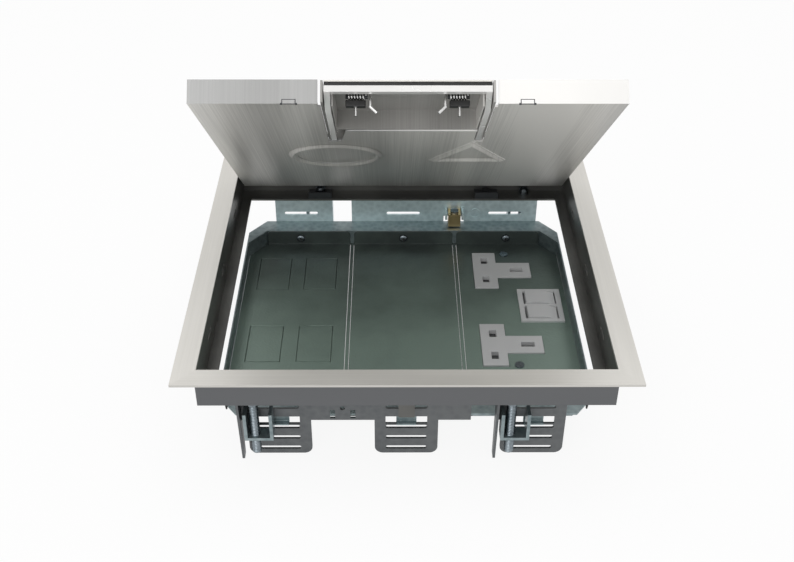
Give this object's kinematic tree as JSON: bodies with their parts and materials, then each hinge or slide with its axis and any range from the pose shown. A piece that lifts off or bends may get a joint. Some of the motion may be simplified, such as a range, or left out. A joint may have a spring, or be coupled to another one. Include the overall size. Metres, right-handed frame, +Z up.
{
  "type": "floor socket box",
  "caption": "Square floor box with a trim frame, an open hinged lid with a lift-out handle, and a tray with data, blank and switched power plates.",
  "frame": {"origin": "centre of the bounding box's bottom face, level with the feet of the end plates", "axes": "+X to the right seen from the free edge of the lid, +Y towards the hinge, +Z up"},
  "size_m": [0.262, 0.256, 0.2221],
  "materials": {
    "stainless": "fine brushed stainless steel",
    "lid_steel": "brushed stainless steel",
    "pin_steel": "bright steel",
    "screw_steel": "bright zinc plated",
    "dark_rubber": "matt",
    "dark_steel": "dark",
    "handle_metal": "polished cast",
    "black_plastic": "matt",
    "zinc": "blue passivated zinc plate",
    "zinc_dark": "zinc plate",
    "grey_plastic": "satin grey",
    "housing_plastic": "moulded",
    "contact_brass": "bright"
  },
  "bodies": {
    "base": {"trim_frame": "stainless", "hinge_pins": "pin_steel", "lid_rests": "dark_rubber", "hinge_brackets": "dark_steel", "end_plate_rear_long": "zinc", "end_plate_rear_short": "zinc", "end_plate_front_long": "zinc", "end_plate_front_short": "zinc", "accessory_tray": "zinc", "data_plate": "zinc_dark", "data_blank_rear_left": "zinc_dark", "data_blank_rear_right": "zinc_dark", "data_blank_front_left": "zinc_dark", "data_blank_front_right": "zinc_dark", "blank_plate": "zinc_dark", "power_plate": "zinc_dark", "plate_screws": "screw_steel", "socket_face_rear": "grey_plastic", "socket_face_front": "grey_plastic", "socket_housing": "housing_plastic", "socket_fixings": "screw_steel", "socket_contacts": "contact_brass", "switch_surround": "grey_plastic", "rocker_rod": "pin_steel", "earth_terminal": "contact_brass", "earth_screw": "screw_steel"},
    "lid": {"lid_tray": "lid_steel", "handle_well": "lid_steel", "handle_pins": "pin_steel", "latch_springs": "pin_steel", "latch_blocks": "black_plastic", "latch_pins": "pin_steel", "latch_wire_left": "pin_steel", "latch_wire_right": "pin_steel"},
    "handle": {"handle_bail": "handle_metal", "handle_strip": "dark_rubber", "grip_plate": "stainless"},
    "rocker_rear": {"rocker_rear": "grey_plastic"},
    "rocker_front": {"rocker_front": "grey_plastic"},
    "shutter_rear": {"shutter_rear": "housing_plastic"},
    "shutter_front": {"shutter_front": "housing_plastic"},
    "screw_front_left": {"clamp_screw_front_left": "screw_steel"},
    "claw_front_left": {"clamp_claw_front_left": "zinc"},
    "screw_front_right": {"clamp_screw_front_right": "screw_steel"},
    "claw_front_right": {"clamp_claw_front_right": "zinc"},
    "screw_rear_left": {"clamp_screw_rear_left": "screw_steel"},
    "claw_rear_left": {"clamp_claw_rear_left": "zinc"},
    "screw_rear_right": {"clamp_screw_rear_right": "screw_steel"},
    "claw_rear_right": {"clamp_claw_rear_right": "zinc"}
  },
  "joints": [
    {"name": "lid_hinge", "type": "hinge", "parent": "base", "child": "lid", "pos_m": [0, 0.1075, 0.071], "axis": [-1, 0, 0], "range_deg": [-42.1, 60]},
    {"name": "handle_hinge", "type": "hinge", "parent": "lid", "child": "handle", "pos_m": [0, -0.00081, 0.16145], "axis": [-1, 0, 0], "range_deg": [0, 80], "stiffness_Nm_per_rad": 0.05, "springref_deg": -34.38},
    {"name": "switch_rear", "type": "hinge", "parent": "base", "child": "rocker_rear", "pos_m": [0.09295, 0.02225, 0.0175], "axis": [0, -1, 0], "range_deg": [0, 12]},
    {"name": "switch_front", "type": "hinge", "parent": "base", "child": "rocker_front", "pos_m": [0.09295, 0.00605, 0.0175], "axis": [0, -1, 0], "range_deg": [0, 12]},
    {"name": "shutter_slide_rear", "type": "slide", "parent": "base", "child": "shutter_rear", "axis": [-1, 0, 0], "range_m": [0, 0.0065], "stiffness_N_per_m": 60, "springref_m": -0.004},
    {"name": "shutter_slide_front", "type": "slide", "parent": "base", "child": "shutter_front", "axis": [-1, 0, 0], "range_m": [0, 0.0065], "stiffness_N_per_m": 60, "springref_m": -0.004},
    {"name": "claw_climb_front_left", "type": "slide", "parent": "base", "child": "claw_front_left", "axis": [0, 0, 1], "range_m": [-0.0112, 0.0056]},
    {"name": "screw_turn_front_left", "type": "hinge", "parent": "base", "child": "screw_front_left", "pos_m": [-0.0888, -0.1115, 0.025], "axis": [0, 0, -1], "range_deg": [-5040.01, 2520.01]},
    {"name": "claw_climb_front_right", "type": "slide", "parent": "base", "child": "claw_front_right", "axis": [0, 0, 1], "range_m": [-0.0112, 0.0056]},
    {"name": "screw_turn_front_right", "type": "hinge", "parent": "base", "child": "screw_front_right", "pos_m": [0.0608, -0.1115, 0.025], "axis": [0, 0, -1], "range_deg": [-5040.01, 2520.01]},
    {"name": "claw_climb_rear_right", "type": "slide", "parent": "base", "child": "claw_rear_right", "axis": [0, 0, 1], "range_m": [-0.0112, 0.0056]},
    {"name": "screw_turn_rear_right", "type": "hinge", "parent": "base", "child": "screw_rear_right", "pos_m": [0.0888, 0.1115, 0.025], "axis": [0, 0, -1], "range_deg": [-5040.01, 2520.01]},
    {"name": "claw_climb_rear_left", "type": "slide", "parent": "base", "child": "claw_rear_left", "axis": [0, 0, 1], "range_m": [-0.0112, 0.0056]},
    {"name": "screw_turn_rear_left", "type": "hinge", "parent": "base", "child": "screw_rear_left", "pos_m": [-0.0608, 0.1115, 0.025], "axis": [0, 0, -1], "range_deg": [-5040.01, 2520.01]}
  ],
  "couplings": [
    {"joint": "screw_turn_front_left", "follows": "claw_climb_front_left", "rad_per_m": 7854},
    {"joint": "screw_turn_front_right", "follows": "claw_climb_front_right", "rad_per_m": 7854},
    {"joint": "screw_turn_rear_right", "follows": "claw_climb_rear_right", "rad_per_m": 7854},
    {"joint": "screw_turn_rear_left", "follows": "claw_climb_rear_left", "rad_per_m": 7854}
  ]
}
